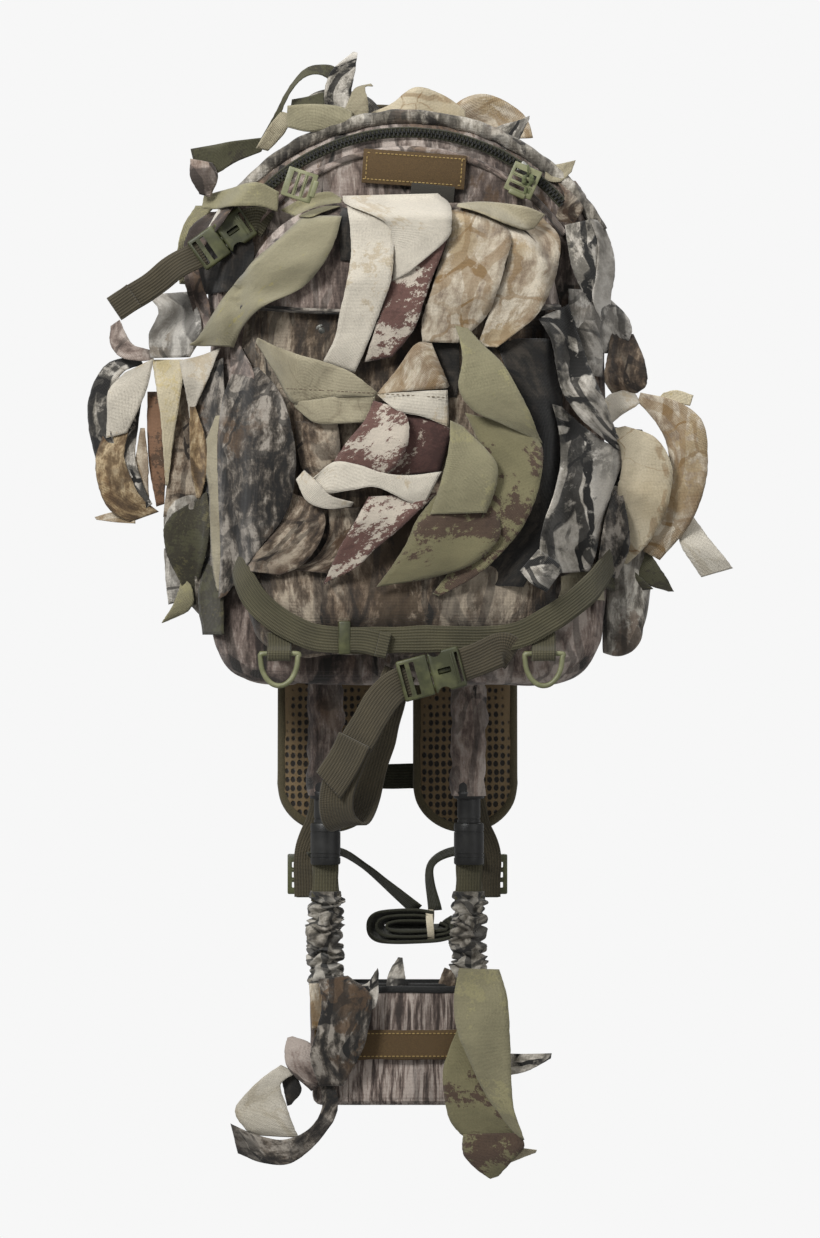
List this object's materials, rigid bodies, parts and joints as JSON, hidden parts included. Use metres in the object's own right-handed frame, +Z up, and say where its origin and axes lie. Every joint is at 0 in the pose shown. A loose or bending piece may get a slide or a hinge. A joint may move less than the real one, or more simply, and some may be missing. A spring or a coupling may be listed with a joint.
{
  "type": "camouflage arrow-quiver day pack",
  "caption": "Camouflage day pack with an arrow hood, two telescoping quiver poles, a sprung arrow cup, shoulder harness, buckled straps and sewn-on ghillie strips.",
  "frame": {"origin": "centre of the back panel's rear face, at the height that the harness hangs it", "axes": "+Z up along the quiver poles, +Y out of the back panel towards the wearer, front of the pack towards -Y"},
  "size_m": [0.4923, 0.2655, 0.8595],
  "materials": {
    "camo_cloth": "matte",
    "dark_cloth": "matte",
    "strip_cloth": "matte",
    "label_cloth": "matte",
    "spacer_mesh": "matte",
    "olive_webbing": "matte",
    "olive_plastic": "satin",
    "black_plastic": "satin",
    "black_foam": "matte",
    "cream_rubber": "matte",
    "zip_metal": "satin"
  },
  "bodies": {
    "root": {"back_panel": "spacer_mesh", "main_bag": "camo_cloth", "arrow_hood": "dark_cloth", "front_pocket": "camo_cloth", "left_side_pocket": "camo_cloth", "right_side_pocket": "camo_cloth", "front_label": "label_cloth", "main_zip_chain": "black_plastic", "top_piping": "camo_cloth", "haul_loop": "olive_webbing", "snap_stud": "zip_metal", "left_upper_tube": "black_plastic", "left_tube_sleeve": "camo_cloth", "right_upper_tube": "black_plastic", "right_tube_sleeve": "camo_cloth", "belt_buckle_socket": "olive_plastic", "belt_anchor_strap": "olive_webbing", "compression_strap": "olive_webbing", "left_ring_tab": "olive_webbing", "right_ring_tab": "olive_webbing", "side_buckle_socket": "olive_plastic", "harness_yoke": "olive_webbing", "top_strips": "strip_cloth", "shoulder_strips": "strip_cloth", "front_strips": "strip_cloth", "left_strips": "strip_cloth", "right_strips": "strip_cloth"},
    "slider": {"zip_slider": "zip_metal"},
    "pull_cord": {"zip_pull": "olive_webbing"},
    "flap": {"pocket_flap": "camo_cloth", "flap_strips": "strip_cloth"},
    "left_pole": {"left_lower_tube": "black_plastic", "left_tube_cap": "black_plastic", "left_cap_webbing": "olive_webbing", "left_elastic_sleeve": "camo_cloth"},
    "right_pole": {"right_lower_tube": "black_plastic", "right_tube_cap": "black_plastic", "right_cap_webbing": "olive_webbing", "right_elastic_sleeve": "camo_cloth"},
    "cup": {"cup_cover": "dark_cloth", "cup_liner": "black_foam", "cup_foam": "black_foam", "cup_band": "label_cloth", "cup_strips": "strip_cloth"},
    "belt_end": {"belt_buckle_plug": "olive_plastic", "belt_tail": "olive_webbing"},
    "keeper": {"strap_keeper": "olive_plastic"},
    "left_ring": {"left_d_ring": "olive_plastic"},
    "right_ring": {"right_d_ring": "olive_plastic"},
    "side_strap": {"side_buckle_plug": "olive_plastic", "side_strap_tail": "olive_webbing"},
    "harness": {"left_shoulder_pad": "spacer_mesh", "left_adjuster_strap": "olive_webbing", "right_shoulder_pad": "spacer_mesh", "right_adjuster_strap": "olive_webbing", "bundle_band": "cream_rubber"},
    "left_lock": {"left_ladder_lock": "olive_plastic"},
    "right_lock": {"right_ladder_lock": "olive_plastic"},
    "chest_strap": {"sternum_strap": "olive_webbing"}
  },
  "joints": [
    {"name": "zip_travel", "type": "hinge", "parent": "root", "child": "slider", "pos_m": [0.008, -0.1567, 0.05], "axis": [0, -1, 0], "range_deg": [-10, 82]},
    {"name": "pull_swing", "type": "hinge", "parent": "slider", "child": "pull_cord", "pos_m": [0.09908, -0.1613, 0.17536], "axis": [0, 1, 0], "range_deg": [-8, 70]},
    {"name": "flap_lift", "type": "hinge", "parent": "root", "child": "flap", "pos_m": [0.003, -0.1924, 0.149], "axis": [-1, 0, 0], "range_deg": [0, 110]},
    {"name": "left_pole_slide", "type": "slide", "parent": "root", "child": "left_pole", "axis": [0, 0, -1], "range_m": [-0.015, 0.08]},
    {"name": "right_pole_slide", "type": "slide", "parent": "root", "child": "right_pole", "axis": [0, 0, -1], "range_m": [-0.015, 0.08]},
    {"name": "cup_stretch", "type": "slide", "parent": "left_pole", "child": "cup", "axis": [0, 0, -1], "range_m": [0, 0.05], "stiffness_N_per_m": 250, "springref_m": -0.04, "deforming": ["left_elastic_sleeve", "right_elastic_sleeve"]},
    {"name": "belt_release", "type": "slide", "parent": "root", "child": "belt_end", "axis": [-0.9659, 0, -0.2588], "range_m": [0, 0.035]},
    {"name": "keeper_slide", "type": "slide", "parent": "root", "child": "keeper", "axis": [1, 0, 0], "range_m": [-0.012, 0.06]},
    {"name": "left_ring_swing", "type": "hinge", "parent": "root", "child": "left_ring", "pos_m": [-0.088, -0.1971, -0.19], "axis": [-1, 0, 0], "range_deg": [0, 80]},
    {"name": "right_ring_swing", "type": "hinge", "parent": "root", "child": "right_ring", "pos_m": [0.11, -0.1971, -0.19], "axis": [-1, 0, 0], "range_deg": [0, 80]},
    {"name": "side_release", "type": "slide", "parent": "root", "child": "side_strap", "axis": [-0.8192, 0, -0.5736], "range_m": [0, 0.035]},
    {"name": "harness_swing", "type": "hinge", "parent": "root", "child": "harness", "pos_m": [0, 0.0059, 0.1902], "axis": [1, 0, 0], "range_deg": [0, 60]},
    {"name": "left_lock_tilt", "type": "hinge", "parent": "harness", "child": "left_lock", "pos_m": [-0.072, 0.0258, -0.351], "axis": [1, 0, 0], "range_deg": [0, 40]},
    {"name": "right_lock_tilt", "type": "hinge", "parent": "harness", "child": "right_lock", "pos_m": [0.072, 0.0258, -0.351], "axis": [1, 0, 0], "range_deg": [0, 40]},
    {"name": "chest_strap_slide", "type": "slide", "parent": "harness", "child": "chest_strap", "axis": [0, 0, 1], "range_m": [-0.03, 0.03]}
  ],
  "couplings": [
    {"joint": "right_pole_slide", "follows": "left_pole_slide", "ratio": 1}
  ]
}
